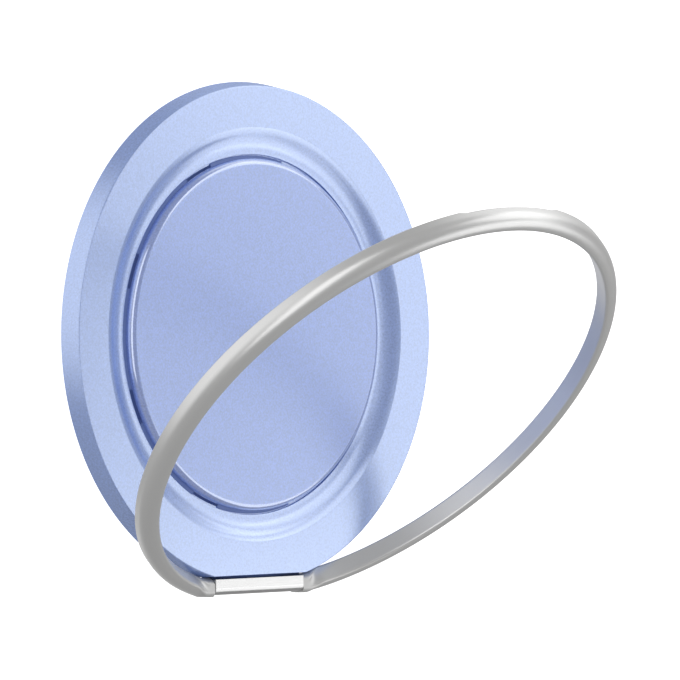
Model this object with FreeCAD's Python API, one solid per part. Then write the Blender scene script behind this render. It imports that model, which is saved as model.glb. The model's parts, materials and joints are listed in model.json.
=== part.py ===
import FreeCAD, Part
import math
import os

from FreeCAD import Vector

# Phone grip: a blue disc that holds to the back of a phone, with a bezel that turns round a fixed centre
# cap and a silver loop that folds out of the bezel on a pin hinge.
# Millimetres. Z points out of the phone, the origin is the middle of the back pad's face, X lies along the
# hinge, and the hinge is on the -Y side. The loop stands half open.

# Heights, stacked up from the phone
PAD_THICKNESS = 0.4
BASE_FLANGE_THICKNESS = 0.28
FLANGE_BEZEL_GAP = 0.12
RIM_HEIGHT = 2.4

# Bezel
FACE_RADIUS = 28.0
FACE_WIDTH = 4.35
RIM_FLARE = 0.45
RIM_WALL = 2.1
EDGE_CHAMFER = 0.14
FLAT_DEPTH = 0.97
DISH_WIDTH = 3.2
DISH_DEPTH = 0.76
DISH_CROWN_WIDTH = 1.18
BORE_LAND = 0.1
FLANGE_THICKNESS = 0.65
LIP_THICKNESS = 0.33

# Centre cap and the gap round it
CAP_GAP = 0.53
CAP_STAND = 0.2
CAP_EDGE_LAND = 0.08
CAP_UNDER_CHAMFER = 0.06
TAPE_INSET = 0.8
TAPE_THICKNESS = 0.15

# Snap hub of the base
FINGER_COUNT = 8
FINGER_SLOT_DEG = 12.0
FINGER_THICKNESS = 0.8
FINGER_RELIEF = 0.7
FINGER_ROOT_DEPTH = 0.6
HOOK_OVERLAP = 0.2
HOOK_HEIGHT = 0.2
HOOK_HEADROOM = 0.07
LIP_CLEARANCE = 0.3
RUNNING_CLEARANCE = 0.05
BOSS_SKIN = 0.8
RIB_COUNT = 8
RIB_DEG = 6.0
RIB_HUB_RADIUS = 4.0
RIB_RING_WALL = 0.9

# Base tray
FLOOR_THICKNESS = 0.35
TRAY_WALL = 0.5
TRAY_CLEARANCE = 0.35
FLANGE_EDGE_INSET = 1.3
SHOULDER_WIDTH = 1.9
PAD_INSET = 0.4
PAD_EDGE_ROUND = 0.15

# Magnets and the steel ring over them, level with the shoulder
MAGNET_COUNT = 16
MAGNET_GAP_DEG = 1.6
MAGNET_CLEARANCE = 0.1
SHIELD_THICKNESS = 0.25

# Friction washer under the bezel
WASHER_THICKNESS = 0.15
WASHER_INSET = 0.15

# Hinge
HINGE_DROP = 1.35
PIN_RADIUS = 0.45
PIN_CLEARANCE = 0.03
BARREL_LENGTH = 14.06
BARREL_WALL = 0.27
BARREL_SHADOW_GAP = 0.31
BARREL_SHADOW_DEPTH = 0.7
BARREL_FACE_DROP = 0.12
BARREL_FRONT_ROUND = 0.5
BARREL_BACK_ROUND = 0.6
TENON_INSET = 2.43
TENON_RADIUS = 0.6
TENON_LENGTH = 0.9
HINGE_WASHER_RIM = 0.38
HINGE_WASHER_THICKNESS = 0.12
HINGE_WASHER_PLAY = 0.1

# Loop
LOOP_GAP = 0.605
LOOP_SHIFT = 0.43
LOOP_THICKNESS = 2.0
LOOP_FRONT = 1.08
LOOP_BACK = 1.28
LOOP_OUTER_ROUND = 1.5
LOOP_INNER_ROUND = 0.32
LOOP_HEEL_ROUND = 0.32
LOOP_EDGE_ROUND = 0.12
KNUCKLE_RADIUS = 1.25
KNUCKLE_CLEARANCE = 0.1
KNUCKLE_FLAT_CUT = 0.1
KNUCKLE_FLAT_TILT_DEG = 44.4
KNUCKLE_SOLE_CUT = 0.33
KNUCKLE_SOLE_SHARE = 0.2
KNUCKLE_LENGTH = 1.3
KNUCKLE_BLEND = 1.6
KNUCKLE_STOPS_DEG = (230.0, 245.0, 300.0)
PIN_GRIP = 1.9
NOTCH_DEG = 28.0
NOTCH_CUT = 0.42
LOOP_OPEN_DEG = 45.64

# Radii that follow from the sizes above
CAVITY_RADIUS = FACE_RADIUS - RIM_WALL
DISH_OUTER_RADIUS = FACE_RADIUS - FACE_WIDTH
DISH_INNER_RADIUS = DISH_OUTER_RADIUS - DISH_WIDTH
BEZEL_BORE = DISH_INNER_RADIUS - BORE_LAND
CAP_RADIUS = BEZEL_BORE - CAP_GAP
FINGER_RADIUS = CAP_RADIUS - 0.5 * LIP_CLEARANCE
FINGER_INNER = FINGER_RADIUS - FINGER_THICKNESS
LIP_RADIUS = FINGER_RADIUS + LIP_CLEARANCE
HOOK_RADIUS = LIP_RADIUS + HOOK_OVERLAP
BOSS_RADIUS = FINGER_INNER - FINGER_RELIEF
SHOULDER_RADIUS = FINGER_RADIUS + SHOULDER_WIDTH
TRAY_RADIUS = CAVITY_RADIUS - TRAY_CLEARANCE
FLANGE_RADIUS = FACE_RADIUS - FLANGE_EDGE_INSET
MAGNET_INNER = SHOULDER_RADIUS + MAGNET_CLEARANCE
MAGNET_OUTER = TRAY_RADIUS - TRAY_WALL - MAGNET_CLEARANCE

# Levels
BEZEL_BACK = PAD_THICKNESS + BASE_FLANGE_THICKNESS + FLANGE_BEZEL_GAP
FACE_HEIGHT = BEZEL_BACK + RIM_HEIGHT
DISH_FLOOR = FACE_HEIGHT - DISH_DEPTH
BEZEL_UNDER = DISH_FLOOR - FLANGE_THICKNESS
LIP_TOP = BEZEL_UNDER + LIP_THICKNESS
HOOK_BOTTOM = LIP_TOP + RUNNING_CLEARANCE
HOOK_TOP = HOOK_BOTTOM + HOOK_HEIGHT
CAP_UNDER = HOOK_TOP + HOOK_HEADROOM
CAP_TOP = FACE_HEIGHT + CAP_STAND
CAP_EDGE_ROUND = CAP_TOP - CAP_UNDER - CAP_EDGE_LAND
BOSS_TOP = CAP_UNDER - TAPE_THICKNESS
TRAY_FLOOR = PAD_THICKNESS + FLOOR_THICKNESS
SHOULDER_TOP = BEZEL_UNDER - RUNNING_CLEARANCE - WASHER_THICKNESS
SHIELD_BOTTOM = SHOULDER_TOP - SHIELD_THICKNESS

# Places of the hinge and the loop
FLAT_OFFSET = FACE_RADIUS - FLAT_DEPTH
HINGE_Y = -(FLAT_OFFSET + KNUCKLE_CLEARANCE + KNUCKLE_RADIUS)
HINGE_Z = FACE_HEIGHT - HINGE_DROP
PIN_BORE = PIN_RADIUS + PIN_CLEARANCE
BARREL_HALF = 0.5 * BARREL_LENGTH
KNUCKLE_START = BARREL_HALF + HINGE_WASHER_THICKNESS + HINGE_WASHER_PLAY
BLEND_START = KNUCKLE_START + KNUCKLE_LENGTH
PIN_REACH = KNUCKLE_START + PIN_GRIP
LOOP_INNER_RADIUS = FACE_RADIUS + RIM_FLARE + LOOP_GAP
LOOP_END_DEG = math.degrees(math.acos((BLEND_START + KNUCKLE_BLEND) / LOOP_INNER_RADIUS))
LOOP_CENTRE = Vector(0, LOOP_SHIFT, HINGE_Z)

Z_AXIS = Vector(0, 0, 1)
X_AXIS = Vector(1, 0, 0)
ORIGIN = Vector(0, 0, 0)
TOUCH = 1e-4


def outline(start, *steps):
    """Closed wire of lines and arcs: a step is an end point, or a (through, end) pair for an arc."""
    edges = []
    here = start
    for step in steps:
        if isinstance(step, tuple):
            through, end = step
            edges.append(Part.Arc(here, through, end).toShape())
        else:
            end = step
            edges.append(Part.LineSegment(here, end).toShape())
        here = end
    if here.distanceToPoint(start) > TOUCH:
        edges.append(Part.LineSegment(here, start).toShape())
    return Part.Wire(edges)


def rz(radius, height):
    """Point of a turned profile."""
    return Vector(radius, 0, height)


def yz(y, z):
    """Point of a profile that is carried along the hinge."""
    return Vector(0, y, z)


def turned(wire, degrees=360.0):
    return Part.Face(wire).revolve(ORIGIN, Z_AXIS, degrees)


def turned_band(inner, outer, bottom, top, degrees=360.0):
    return turned(outline(rz(inner, bottom), rz(outer, bottom), rz(outer, top), rz(inner, top)), degrees)


def spun(shape, degrees):
    copy = shape.copy()
    copy.rotate(ORIGIN, Z_AXIS, degrees)
    return copy


def around(shape, count, first_deg):
    """Copies of a shape, evenly spaced round the disc's axis."""
    return [spun(shape, first_deg + index * 360.0 / count) for index in range(count)]


def corner_arc(centre_a, centre_b, radius, degrees):
    """Point of a corner's arc, as a pair of section coordinates."""
    angle = math.radians(degrees)
    return centre_a + radius * math.cos(angle), centre_b + radius * math.sin(angle)


def back_pad():
    radius = FLANGE_RADIUS - PAD_INSET
    inset = radius - PAD_EDGE_ROUND
    through = rz(*corner_arc(inset, PAD_EDGE_ROUND, PAD_EDGE_ROUND, -45))
    return turned(outline(
        rz(0, 0),
        rz(inset, 0),
        (through, rz(radius, PAD_EDGE_ROUND)),
        rz(radius, PAD_THICKNESS),
        rz(0, PAD_THICKNESS),
    ))


def base_plate():
    """Moulded tray with a ribbed boss under the cap and a ring of hooked snap fingers round it."""
    flange_top = PAD_THICKNESS + BASE_FLANGE_THICKNESS
    root = SHOULDER_TOP - FINGER_ROOT_DEPTH
    body = turned(outline(
        rz(0, PAD_THICKNESS),
        rz(FLANGE_RADIUS, PAD_THICKNESS),
        rz(FLANGE_RADIUS, flange_top),
        rz(TRAY_RADIUS, flange_top),
        rz(TRAY_RADIUS, SHOULDER_TOP),
        rz(TRAY_RADIUS - TRAY_WALL, SHOULDER_TOP),
        rz(TRAY_RADIUS - TRAY_WALL, TRAY_FLOOR),
        rz(SHOULDER_RADIUS, TRAY_FLOOR),
        rz(SHOULDER_RADIUS, SHOULDER_TOP),
        rz(FINGER_RADIUS, SHOULDER_TOP),
        rz(FINGER_RADIUS, HOOK_BOTTOM),
        rz(HOOK_RADIUS, HOOK_BOTTOM),
        rz(FINGER_RADIUS, HOOK_TOP),
        rz(FINGER_INNER, HOOK_TOP),
        rz(FINGER_INNER, root),
        rz(BOSS_RADIUS, root),
        rz(BOSS_RADIUS, BOSS_TOP),
        rz(0, BOSS_TOP),
    ))
    slot_inner = BOSS_RADIUS + 0.5 * FINGER_RELIEF
    slot_outer = HOOK_RADIUS + HOOK_OVERLAP
    slot = turned_band(slot_inner, slot_outer, root, CAP_UNDER, FINGER_SLOT_DEG)
    slots = around(slot, FINGER_COUNT, 180.0 / FINGER_COUNT - 0.5 * FINGER_SLOT_DEG)
    pocket_outer = BOSS_RADIUS - RIB_RING_WALL
    pocket_deg = 360.0 / RIB_COUNT - RIB_DEG
    pocket = turned_band(RIB_HUB_RADIUS, pocket_outer, PAD_THICKNESS, BOSS_TOP - BOSS_SKIN, pocket_deg)
    return body.cut(slots).cut(around(pocket, RIB_COUNT, 0.5 * RIB_DEG))


def magnet_segments():
    pitch = 360.0 / MAGNET_COUNT
    segment = turned_band(MAGNET_INNER, MAGNET_OUTER, TRAY_FLOOR, SHIELD_BOTTOM, pitch - MAGNET_GAP_DEG)
    return Part.makeCompound(around(segment, MAGNET_COUNT, 0.5 * MAGNET_GAP_DEG))


def magnet_shield():
    return turned_band(MAGNET_INNER, MAGNET_OUTER, SHIELD_BOTTOM, SHIELD_BOTTOM + SHIELD_THICKNESS)


def friction_washer():
    inner = LIP_RADIUS + WASHER_INSET
    outer = SHOULDER_RADIUS - WASHER_INSET
    return turned_band(inner, outer, SHOULDER_TOP, SHOULDER_TOP + WASHER_THICKNESS)


def cap_tape():
    return turned_band(0, BOSS_RADIUS - TAPE_INSET, BOSS_TOP, CAP_UNDER)


def centre_cap():
    """Turned disc whose whole edge is a quarter round."""
    inset = CAP_RADIUS - CAP_EDGE_ROUND
    wall_top = CAP_TOP - CAP_EDGE_ROUND
    through = rz(*corner_arc(inset, wall_top, CAP_EDGE_ROUND, 45))
    return turned(outline(
        rz(0, CAP_UNDER),
        rz(CAP_RADIUS - CAP_UNDER_CHAMFER, CAP_UNDER),
        rz(CAP_RADIUS, CAP_UNDER + CAP_UNDER_CHAMFER),
        rz(CAP_RADIUS, wall_top),
        (through, rz(inset, CAP_TOP)),
        rz(0, CAP_TOP),
    ))


def dish_curve():
    """Two tangent arcs from the dish's floor up to the face: a wide hollow and a tighter crown."""
    turn = 2 * math.atan2(DISH_DEPTH, DISH_WIDTH)
    crown_radius = DISH_CROWN_WIDTH / math.sin(turn)
    hollow_radius = (DISH_WIDTH - DISH_CROWN_WIDTH) / math.sin(turn)

    def along(radius, share):
        return radius * math.sin(share * turn), radius * (1 - math.cos(share * turn))

    half_run, half_rise = along(hollow_radius, 0.5)
    run, rise = along(hollow_radius, 1.0)
    half_back, half_drop = along(crown_radius, 0.5)
    middle = rz(DISH_INNER_RADIUS + run, DISH_FLOOR + rise)
    hollow = (rz(DISH_INNER_RADIUS + half_run, DISH_FLOOR + half_rise), middle)
    top = rz(DISH_OUTER_RADIUS, FACE_HEIGHT)
    crown = (rz(DISH_OUTER_RADIUS - half_back, FACE_HEIGHT - half_drop), top)
    return hollow, crown


def tenons():
    """Two short round pegs that stand on the barrel's land and point into the bezel."""
    pegs = []
    for side in (-1, 1):
        foot = Vector(side * (BARREL_HALF - TENON_INSET), -FLAT_OFFSET, HINGE_Z)
        pegs.append(Part.makeCylinder(TENON_RADIUS, TENON_LENGTH, foot, Vector(0, 1, 0)))
    return pegs


def on_face_rim(point):
    """True for a point on the outer edge of the bezel's face."""
    on_face = abs(point.z - FACE_HEIGHT) < TOUCH
    return on_face and math.hypot(point.x, point.y) > FACE_RADIUS - TOUCH


def bezel():
    hollow, crown = dish_curve()
    ring = turned(outline(
        rz(BEZEL_BORE, DISH_FLOOR),
        rz(DISH_INNER_RADIUS, DISH_FLOOR),
        hollow,
        crown,
        rz(FACE_RADIUS, FACE_HEIGHT),
        rz(FACE_RADIUS + RIM_FLARE, BEZEL_BACK),
        rz(CAVITY_RADIUS, BEZEL_BACK),
        rz(CAVITY_RADIUS, BEZEL_UNDER),
        rz(LIP_RADIUS, BEZEL_UNDER),
        rz(LIP_RADIUS, LIP_TOP),
        rz(BEZEL_BORE, LIP_TOP),
    ))
    span = 2 * (FACE_RADIUS + RIM_FLARE)
    below_flat = Part.makeBox(span, span, span, Vector(-0.5 * span, -FLAT_OFFSET - span, -0.5 * span))
    ring = ring.cut(below_flat)
    rim_edges = [edge for edge in ring.Edges if all(on_face_rim(vertex.Point) for vertex in edge.Vertexes)]
    ring = ring.makeChamfer(EDGE_CHAMFER, rim_edges)
    return ring.cut(tenons())


def hinge_barrel():
    """Bar with a flat front, a round foot, a land on the bezel's flat and a bore for the pin."""
    front = FACE_HEIGHT - BARREL_FACE_DROP
    foot = HINGE_Y - PIN_BORE - BARREL_WALL
    land = -FLAT_OFFSET
    front_y = foot + BARREL_FRONT_ROUND
    front_z = front - BARREL_FRONT_ROUND
    back_y = foot + BARREL_BACK_ROUND
    back_z = BEZEL_BACK + BARREL_BACK_ROUND
    section = outline(
        yz(land - BARREL_SHADOW_GAP, front),
        yz(front_y, front),
        (yz(*corner_arc(front_y, front_z, BARREL_FRONT_ROUND, 135)), yz(foot, front_z)),
        yz(foot, back_z),
        (yz(*corner_arc(back_y, back_z, BARREL_BACK_ROUND, 225)), yz(back_y, BEZEL_BACK)),
        yz(land, BEZEL_BACK),
        yz(land, front - BARREL_SHADOW_DEPTH),
        yz(land - BARREL_SHADOW_GAP, front - BARREL_SHADOW_DEPTH),
    )
    bar = Part.Face(section).extrude(X_AXIS * BARREL_LENGTH)
    bar.translate(X_AXIS * -BARREL_HALF)
    bore = hinge_rod(PIN_BORE, -BARREL_HALF, BARREL_HALF)
    return bar.cut(bore).fuse(tenons())


def hinge_rod(radius, start, end):
    return Part.makeCylinder(radius, end - start, Vector(start, HINGE_Y, HINGE_Z), X_AXIS)


def hinge_washers():
    end = BARREL_HALF + HINGE_WASHER_THICKNESS
    washers = []
    for start, stop in ((-end, -BARREL_HALF), (BARREL_HALF, end)):
        disc = hinge_rod(PIN_BORE + HINGE_WASHER_RIM, start, stop)
        washers.append(disc.cut(hinge_rod(PIN_BORE, start, stop)))
    return Part.makeCompound(washers)


def opened(shape):
    """Turn a piece of the loop about the pin from folded flat to half open."""
    shape.rotate(Vector(0, HINGE_Y, HINGE_Z), X_AXIS, LOOP_OPEN_DEG)
    return shape


def hinge_pin():
    return opened(hinge_rod(PIN_RADIUS, -PIN_REACH, PIN_REACH))


def loop_section(place):
    """Section of the loop: flat inside, back and outside, rounded off in front and at the edges."""
    outer_a = LOOP_THICKNESS - LOOP_OUTER_ROUND
    outer_b = LOOP_FRONT - LOOP_OUTER_ROUND
    inner_b = LOOP_FRONT - LOOP_INNER_ROUND
    edge_a = LOOP_THICKNESS - LOOP_EDGE_ROUND
    edge_b = LOOP_EDGE_ROUND - LOOP_BACK
    heel_b = LOOP_HEEL_ROUND - LOOP_BACK

    def middle(centre_a, centre_b, radius, degrees):
        return place(*corner_arc(centre_a, centre_b, radius, degrees))

    return outline(
        place(0, heel_b),
        place(0, inner_b),
        (middle(LOOP_INNER_ROUND, inner_b, LOOP_INNER_ROUND, 135), place(LOOP_INNER_ROUND, LOOP_FRONT)),
        place(outer_a, LOOP_FRONT),
        (middle(outer_a, outer_b, LOOP_OUTER_ROUND, 45), place(LOOP_THICKNESS, outer_b)),
        place(LOOP_THICKNESS, edge_b),
        (middle(edge_a, edge_b, LOOP_EDGE_ROUND, -45), place(edge_a, -LOOP_BACK)),
        place(LOOP_HEEL_ROUND, -LOOP_BACK),
        (middle(LOOP_HEEL_ROUND, heel_b, LOOP_HEEL_ROUND, 225), place(0, heel_b)),
    )


def half_chord_deg(radius, cut):
    """Half the angle that a flat takes off a round, cut to that depth."""
    return math.degrees(math.acos(1.0 - cut / radius))


def knuckle_section(x):
    """Section of a knuckle: round about the pin, with a leaning front flat and a sole square to it."""
    half_flat = half_chord_deg(KNUCKLE_RADIUS, KNUCKLE_FLAT_CUT)
    half_sole = half_chord_deg(KNUCKLE_RADIUS, KNUCKLE_SOLE_CUT)
    flat_start = KNUCKLE_FLAT_TILT_DEG - half_flat
    flat_end = KNUCKLE_FLAT_TILT_DEG + half_flat
    sole_start = KNUCKLE_FLAT_TILT_DEG + 90.0 - half_sole
    sole_end = KNUCKLE_FLAT_TILT_DEG + 90.0 + half_sole

    def rim(degrees):
        return Vector(x, *corner_arc(HINGE_Y, HINGE_Z, KNUCKLE_RADIUS, degrees))

    def arc(here, there):
        return rim(0.5 * (here + there)), rim(there)

    sole_step = rim(sole_start) * (1.0 - KNUCKLE_SOLE_SHARE) + rim(sole_end) * KNUCKLE_SOLE_SHARE
    stops = (sole_end,) + KNUCKLE_STOPS_DEG + (360.0 + flat_start,)
    heel = [arc(here, there) for here, there in zip(stops, stops[1:])]
    front = (rim(flat_end), arc(flat_end, sole_start), sole_step, rim(sole_end))
    return outline(rim(flat_start), *front, *heel)


def loop_place(degrees):
    """Turn section coordinates, out from the inner face and to the front, into points of the flat loop."""
    angle = math.radians(degrees)

    def place(out, front):
        radius = LOOP_INNER_RADIUS + out
        return LOOP_CENTRE + Vector(radius * math.cos(angle), radius * math.sin(angle), front)

    return place


def knuckle():
    """Right-hand end of the loop: a straight knuckle that runs into the loop's own section."""
    straight = Part.Face(knuckle_section(KNUCKLE_START)).extrude(X_AXIS * KNUCKLE_LENGTH)
    blend = Part.makeLoft(
        [knuckle_section(BLEND_START), loop_section(loop_place(-LOOP_END_DEG))], True, True)
    return straight.fuse(blend)


def grip_ring():
    sweep = 180.0 + 2 * LOOP_END_DEG
    ring = Part.Face(loop_section(loop_place(-LOOP_END_DEG))).revolve(LOOP_CENTRE, Z_AXIS, sweep)
    right = knuckle()
    left = right.mirror(ORIGIN, X_AXIS)
    place = loop_place(90.0 - 0.5 * NOTCH_DEG)
    nail_cut = outline(
        place(LOOP_THICKNESS - NOTCH_CUT, -LOOP_BACK),
        place(LOOP_THICKNESS, -LOOP_BACK),
        place(LOOP_THICKNESS, NOTCH_CUT - LOOP_BACK),
    )
    notch = Part.Face(nail_cut).revolve(LOOP_CENTRE, Z_AXIS, NOTCH_DEG)
    left_hole = hinge_rod(PIN_RADIUS, -PIN_REACH, -KNUCKLE_START)
    right_hole = hinge_rod(PIN_RADIUS, KNUCKLE_START, PIN_REACH)
    return opened(ring.fuse([right, left]).cut([notch, left_hole, right_hole]))


PIECES = (
    back_pad,
    base_plate,
    magnet_segments,
    magnet_shield,
    friction_washer,
    cap_tape,
    centre_cap,
    bezel,
    hinge_barrel,
    hinge_washers,
    hinge_pin,
    grip_ring,
)

os.makedirs("parts", exist_ok=True)
for piece in PIECES:
    shape = piece()
    shape.exportStep(f"parts/{piece.__name__}.step")
    print(piece.__name__, len(shape.Solids), "solids", shape.isValid(), round(shape.Volume, 2), "mm3")
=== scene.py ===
"""Phone grip with a blasted blue disc, a turned centre cap, a bright hinge bar and a satin fold-out loop."""

import json
import math
from collections import namedtuple

import bpy
import numpy as np
from bpy.props import FloatProperty, FloatVectorProperty, PointerProperty
from mathutils import Matrix, Vector


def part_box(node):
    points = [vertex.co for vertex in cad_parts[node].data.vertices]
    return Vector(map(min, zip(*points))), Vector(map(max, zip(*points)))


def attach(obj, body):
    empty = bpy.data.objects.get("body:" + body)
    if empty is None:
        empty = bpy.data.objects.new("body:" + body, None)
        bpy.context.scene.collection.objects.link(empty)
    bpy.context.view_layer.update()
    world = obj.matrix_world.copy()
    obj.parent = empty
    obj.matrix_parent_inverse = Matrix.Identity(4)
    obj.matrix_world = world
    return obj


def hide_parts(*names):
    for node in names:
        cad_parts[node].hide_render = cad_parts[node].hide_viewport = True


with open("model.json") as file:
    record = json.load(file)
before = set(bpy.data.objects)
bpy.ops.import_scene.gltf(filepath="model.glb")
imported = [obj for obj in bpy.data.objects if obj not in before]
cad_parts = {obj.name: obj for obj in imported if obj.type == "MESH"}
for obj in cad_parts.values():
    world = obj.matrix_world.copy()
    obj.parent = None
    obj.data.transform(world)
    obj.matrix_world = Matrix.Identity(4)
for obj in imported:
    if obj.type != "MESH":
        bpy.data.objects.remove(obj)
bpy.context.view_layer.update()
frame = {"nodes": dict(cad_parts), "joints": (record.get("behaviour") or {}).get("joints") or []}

bl_info = {
    "name": "Phone Grip",
    "version": (1, 0, 0),
    "blender": (4, 5, 0),
    "location": "3D View > Sidebar > Phone Grip",
    "description": "Builds the smooth pieces, finishes and stage of a folding phone grip",
    "category": "Object",
}

MM = 0.001

BEZEL_LOW, BEZEL_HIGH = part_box("bezel")
CAP_LOW, CAP_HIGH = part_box("centre_cap")
BAR_LOW, BAR_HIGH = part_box("hinge_barrel")
PAD_LOW, PAD_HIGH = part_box("back_pad")
FOLD = next(joint for joint in frame["joints"] if joint["name"] == "loop_fold")
HINGE_Y, HINGE_Z = FOLD["pos_m"][1:]
LOOP_OPEN = math.radians(-FOLD["range_deg"][0])

# Points round a turned piece, along its flat and at the flat's corners, and steps of a section's round
COLUMNS = 320
FLAT_COLUMNS = 24
CORNER_COLUMNS = 8
CORNER_STEPS = 12
# Distance from a round to the extra points that keep a flat side's shading flat
HOLD = 0.008 * MM
SHARP_ANGLE = math.radians(30.0)
LIP_TURN = math.radians(10.0)


def length(label, about, default):
    """A size in metres that a user may change."""
    return FloatProperty(name=label, description=about, default=default, min=0.0, unit="LENGTH", precision=5)


def colour(label, about, default):
    """A linear colour that a user may change."""
    return FloatVectorProperty(
        name=label, description=about, default=default, size=3, min=0.0, max=1.0, subtype="COLOR")


class GripSizes(bpy.types.PropertyGroup):
    """Sizes of the visible pieces, beside those that the frame gives."""

    face_radius: length("Face radius", "Radius of the bezel's flat face", 28.0 * MM)
    dish_outer: length("Dish outer radius", "Where the dish leaves the face at a low lip", 23.35 * MM)
    dish_foot: length("Dish foot radius", "Where the dish's slope runs out into its floor", 21.5 * MM)
    dish_inner: length("Dish inner radius", "Where the dish meets its flat floor", 20.45 * MM)
    dish_depth: length("Dish depth", "Depth of the dish's floor below the face", 0.76 * MM)
    dish_crown: length("Dish crown", "From the lip in to the middle of the dish's outer round", 0.48 * MM)
    dish_lip: length("Dish lip round", "Small round along the lip", 0.25 * MM)
    bore: length("Bore radius", "Radius of the bezel's bore round the cap", 20.27 * MM)
    lip_radius: length("Lip radius", "Radius of the lip that the snap fingers hold", 19.97 * MM)
    lip_top: length("Lip top", "Height of the lip's upper face", 2.12 * MM)
    bezel_under: length("Bezel underside", "Height of the flange's lower face", 1.79 * MM)
    cavity: length("Cavity radius", "Radius of the hollow behind the bezel", 25.9 * MM)
    rim_round: length("Rim round", "Round along the outer edge of the face", 0.14 * MM)
    corner_round: length("Corner round", "Round where the wall meets the flat", 0.25 * MM)
    edge_break: length("Edge break", "Broken sharp edges", 0.05 * MM)
    cap_round: length("Cap round", "Quarter round along the cap's edge", 0.72 * MM)
    bar_front_round: length("Bar front round", "Round at the bar's front lower edge", 0.75 * MM)
    bar_back_round: length("Bar back round", "Round at the bar's back lower edge", 0.6 * MM)
    bar_gap: length("Bar gap", "Gap between the bar's face and the bezel's flat", 0.31 * MM)
    bar_gap_depth: length("Bar gap depth", "Depth of that gap", 0.7 * MM)
    pin_bore: length("Pin bore", "Radius of the bar's bore for the pin", 0.48 * MM)
    pin_radius: length("Pin radius", "Radius of the pin in the knuckles", 0.45 * MM)
    pin_grip: length("Pin grip", "How far the pin reaches into a knuckle", 1.9 * MM)
    loop_radius: length("Loop inner radius", "Radius of the loop's inner face", 29.055 * MM)
    loop_shift: length("Loop shift", "From the disc's axis to the centre of the folded loop", 0.43 * MM)
    loop_thickness: length("Loop thickness", "From the loop's inner face to its outer face", 2.0 * MM)
    loop_front: length("Loop front", "From the hinge axis to the loop's front face", 1.08 * MM)
    loop_back: length("Loop back", "From the hinge axis to the loop's back face", 1.28 * MM)
    loop_outer_round: length("Loop outer round", "Large round at the loop's outer front", 1.5 * MM)
    loop_inner_round: length("Loop inner round", "Round at the loop's inner edges", 0.32 * MM)
    loop_edge_cut: length("Loop edge cut", "Small flat along the loop's outer back edge", 0.1 * MM)
    notch_cut: length("Notch cut", "Size of the nail notch at the loop's far end", 0.42 * MM)
    knuckle_radius: length("Knuckle radius", "Radius of the loop's knuckles about the pin", 1.25 * MM)
    knuckle_flat: length("Knuckle flat", "From the pin's axis to a knuckle's front flat", 1.15 * MM)
    knuckle_sole: length("Knuckle sole", "From the pin's axis to a knuckle's sole", 0.92 * MM)
    knuckle_start: length("Knuckle start", "Distance of a knuckle's end face from the middle", 7.25 * MM)
    knuckle_collar: length("Knuckle collar", "How far a thin collar stands out round the washer", 0.19 * MM)
    collar_radius: length("Collar radius", "Inner radius of that collar", 0.88 * MM)
    collar_break: length("Collar edge break", "Broken edge of that collar", 0.02 * MM)
    knuckle_length: length("Knuckle length", "Straight length of a knuckle", 0.45 * MM)
    knuckle_blend: length("Knuckle blend", "Length over which a knuckle runs into the loop", 2.45 * MM)


class GripFinishes(bpy.types.PropertyGroup):
    """Colours of the finishes, linear."""

    bezel_blue: colour("Bezel blue", "Blasted anodised blue of the bezel", (0.22, 0.34, 0.78))
    cap_blue: colour("Cap blue", "Blasted anodised blue of the cap", (0.23, 0.33, 0.77))
    loop_silver: colour("Loop silver", "Satin silver of the loop", (0.70, 0.70, 0.695))
    bar_steel: colour("Bar steel", "Bright steel of the hinge bar", (0.58, 0.58, 0.58))
    base_plastic: colour("Base plastic", "Moulded plastic of the base", (0.12, 0.18, 0.42))
    pad_silicone: colour("Pad silicone", "Soft pad on the back", (0.10, 0.12, 0.18))
    floor_white: colour("Floor", "Pale floor", (0.80, 0.80, 0.80))


def soft_outline(corners, rounds, fill=0):
    """Closed outline with a round at each corner and a few even points along each side.

    With the half turn h at a corner, its arc of radius r starts r tan(h) before the corner and turns about a
    centre that lies r to the inner side. A point is added just before and just after each arc, so that the
    shading of a long side stays flat. Corners may have leading axes, one outline for each.
    """
    ahead = np.roll(corners, -1, axis=-2) - corners
    ahead = ahead / np.linalg.norm(ahead, axis=-1, keepdims=True)
    behind = np.roll(ahead, 1, axis=-2)
    bend = behind[..., 0] * ahead[..., 1] - behind[..., 1] * ahead[..., 0]
    turn = np.arctan2(bend, (behind * ahead).sum(-1))
    reach = rounds * np.tan(0.5 * np.abs(turn))
    start = corners - behind * reach[..., None]
    inward = np.stack([-behind[..., 1], behind[..., 0]], -1) * np.sign(turn)[..., None]
    centre = start + inward * rounds[:, None]
    arm = (start - centre)[..., None, :]
    angle = turn[..., None] * np.linspace(0.0, 1.0, CORNER_STEPS)
    spun = np.stack([
        np.cos(angle) * arm[..., 0] - np.sin(angle) * arm[..., 1],
        np.sin(angle) * arm[..., 0] + np.cos(angle) * arm[..., 1],
    ], -1)
    arc = centre[..., None, :] + spun
    before = (start - behind * HOLD)[..., None, :]
    after = (corners + ahead * (reach[..., None] + HOLD))[..., None, :]
    side_share = np.linspace(0.0, 1.0, fill + 2)[1:-1, None]
    side = after + (np.roll(before, -1, axis=-3) - after) * side_share
    points = np.concatenate([before, arc, after, side], -2)
    return points.reshape(*corners.shape[:-2], -1, 2)


def quads(rows, columns, closed):
    """Faces between the rows of a grid whose columns close on themselves, and its rows too if closed."""
    row = np.arange(rows if closed else rows - 1)[:, None]
    column = np.arange(columns)[None, :]
    row_next = (row + 1) % rows
    column_next = (column + 1) % columns
    corners = [
        row * columns + column,
        row_next * columns + column,
        row_next * columns + column_next,
        row * columns + column_next,
    ]
    return np.stack(corners, -1).reshape(-1, 4)


def fan(first, columns, pole, flip):
    """Triangles from one row of a grid to a pole."""
    here = first + np.arange(columns)
    there = first + (np.arange(columns) + 1) % columns
    pole = np.full(columns, pole)
    return np.stack([there, here, pole] if flip else [here, there, pole], -1)


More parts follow.
